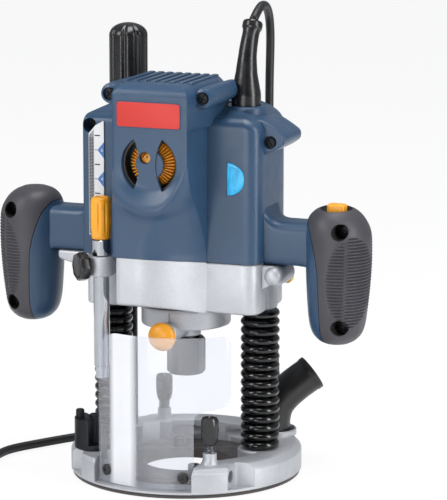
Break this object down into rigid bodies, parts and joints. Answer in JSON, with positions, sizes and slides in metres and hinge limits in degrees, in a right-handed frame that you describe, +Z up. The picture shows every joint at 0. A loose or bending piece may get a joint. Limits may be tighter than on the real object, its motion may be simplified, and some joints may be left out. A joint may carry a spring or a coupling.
{
  "type": "plunge router",
  "caption": "Hand-held plunge router with a round base, sprung bellows columns, two side grips, a depth rod with stepped turret, a clear chip shield and a mains lead.",
  "frame": {"origin": "centre of the base on the underside of its slide plate", "axes": "+X to the operator's right-hand grip, -Y towards the speed-dial side that faces the operator, +Z up along the plunge columns"},
  "size_m": [0.4353, 0.2066, 0.3449],
  "materials": {
    "silver": "fine sand-cast, blasted",
    "chrome": "polished bar",
    "steel": "turned",
    "housing_blue": "moulded, fine texture",
    "grip_rubber": "moulded rubber",
    "black_plastic": "moulded, satin",
    "bellows_black": "glossy moulded rubber",
    "black_steel": "blackened",
    "slide_plate": "smooth phenolic",
    "yellow_plastic": "gloss",
    "orange_plastic": "satin",
    "red_plate": "printed plate",
    "scale_white": "printed strip",
    "lens_cyan": "tinted lens",
    "clear_shield": "clear polycarbonate",
    "copper_winding": "laminated core and windings",
    "circuit_board": "circuit board",
    "cord_black": "cord sheath"
  },
  "bodies": {
    "base": {"base_casting": "silver", "slide_plate": "slide_plate", "column_left": "chrome", "column_right": "chrome", "return_spring_left": "steel", "return_spring_right": "steel", "bellows_left": "bellows_black", "bellows_right": "bellows_black", "height_rod": "black_steel", "chip_shield": "clear_shield", "dust_port": "black_plastic", "cord": "cord_black", "cord_coil": "cord_black", "plug": "cord_black"},
    "head": {"head_casting": "silver", "plunge_bushing_left": "steel", "plunge_bushing_right": "steel", "housing_front": "housing_blue", "housing_rear": "housing_blue", "housing_screw_upper_left": "black_steel", "housing_screw_upper_right": "black_steel", "housing_screw_lower_left": "black_steel", "housing_screw_lower_right": "black_steel", "power_lens": "lens_cyan", "depth_scale": "scale_white", "badge_plate": "red_plate", "handle_left": "housing_blue", "handle_right": "housing_blue", "grip_left": "grip_rubber", "grip_right": "grip_rubber", "grip_screw_left_upper": "black_steel", "grip_screw_left_lower": "black_steel", "grip_screw_right_upper": "black_steel", "grip_screw_right_lower": "black_steel", "stator": "steel", "bearing_lower": "steel", "bearing_upper": "steel", "brush_holder_left": "circuit_board", "brush_holder_right": "circuit_board", "carbon_brush_left": "black_plastic", "carbon_brush_right": "black_plastic", "speed_board": "circuit_board", "switch_block": "black_plastic", "strain_relief": "black_plastic"},
    "spindle": {"armature": "copper_winding", "cooling_fan": "black_plastic", "collet": "steel", "collet_nut": "steel"},
    "spindle_lock": {"spindle_lock_button": "yellow_plastic"},
    "speed_wheel": {"speed_dial": "orange_plastic"},
    "lock_on_button": {"lock_button": "orange_plastic"},
    "trigger": {"trigger": "black_plastic"},
    "plunge_lever": {"plunge_lock_lever": "yellow_plastic"},
    "depth_rod": {"depth_rod": "chrome"},
    "fine_knob": {"depth_fine_knob": "yellow_plastic"},
    "clamp_knob": {"depth_clamp_knob": "black_plastic"},
    "turret": {"depth_turret": "black_plastic"},
    "height_knob": {"height_knob": "black_plastic"},
    "guide_screw_front": {"guide_screw_front": "black_plastic"},
    "guide_screw_rear": {"guide_screw_rear": "black_plastic"}
  },
  "joints": [
    {"name": "plunge", "type": "slide", "parent": "base", "child": "head", "axis": [0, 0, 1], "range_m": [-0.05, 0], "stiffness_N_per_m": 400, "springref_m": 0.13, "deforming": ["bellows_left", "bellows_right", "return_spring_left", "return_spring_right", "cord"]},
    {"name": "spindle_spin", "type": "hinge", "parent": "head", "child": "spindle", "pos_m": [0, 0, 0.0735], "axis": [0, 0, 1], "continuous": true},
    {"name": "spindle_lock_press", "type": "slide", "parent": "head", "child": "spindle_lock", "axis": [0, 1, 0], "range_m": [0, 0.004], "stiffness_N_per_m": 400, "springref_m": -0.002},
    {"name": "speed_wheel_turn", "type": "hinge", "parent": "head", "child": "speed_wheel", "pos_m": [0, -0.06, 0.2384], "axis": [0, 1, 0], "range_deg": [-135, 135]},
    {"name": "lock_on_press", "type": "slide", "parent": "head", "child": "lock_on_button", "axis": [0, 0, -1], "range_m": [0, 0.003], "stiffness_N_per_m": 400, "springref_m": -0.002},
    {"name": "trigger_press", "type": "slide", "parent": "head", "child": "trigger", "axis": [0, -1, 0], "range_m": [0, 0.005], "stiffness_N_per_m": 500, "springref_m": -0.002},
    {"name": "plunge_lever_turn", "type": "hinge", "parent": "head", "child": "plunge_lever", "pos_m": [0.044, 0.04, 0.15], "axis": [0, 1, 0], "range_deg": [-30, 25]},
    {"name": "depth_rod_slide", "type": "slide", "parent": "head", "child": "depth_rod", "axis": [0, 0, -1], "range_m": [-0.05, 0]},
    {"name": "fine_knob_turn", "type": "hinge", "parent": "depth_rod", "child": "fine_knob", "pos_m": [-0.0452, -0.051, 0.19], "axis": [0, 0, 1], "continuous": true},
    {"name": "clamp_knob_turn", "type": "hinge", "parent": "head", "child": "clamp_knob", "pos_m": [-0.0452, -0.051, 0.16], "axis": [-0.7001, -0.7141, 0], "range_deg": [-180, 10]},
    {"name": "turret_turn", "type": "hinge", "parent": "base", "child": "turret", "pos_m": [-0.0545, -0.0435, 0.0223], "axis": [0, 0, 1], "continuous": true},
    {"name": "height_knob_turn", "type": "hinge", "parent": "base", "child": "height_knob", "pos_m": [-0.058, 0.031, 0.274], "axis": [0, 0, 1], "continuous": true},
    {"name": "guide_screw_front_turn", "type": "hinge", "parent": "base", "child": "guide_screw_front", "pos_m": [0.041, -0.057, 0.03], "axis": [0, 0, 1], "continuous": true},
    {"name": "guide_screw_rear_turn", "type": "hinge", "parent": "base", "child": "guide_screw_rear", "pos_m": [-0.041, 0.057, 0.03], "axis": [0, 0, 1], "continuous": true}
  ]
}
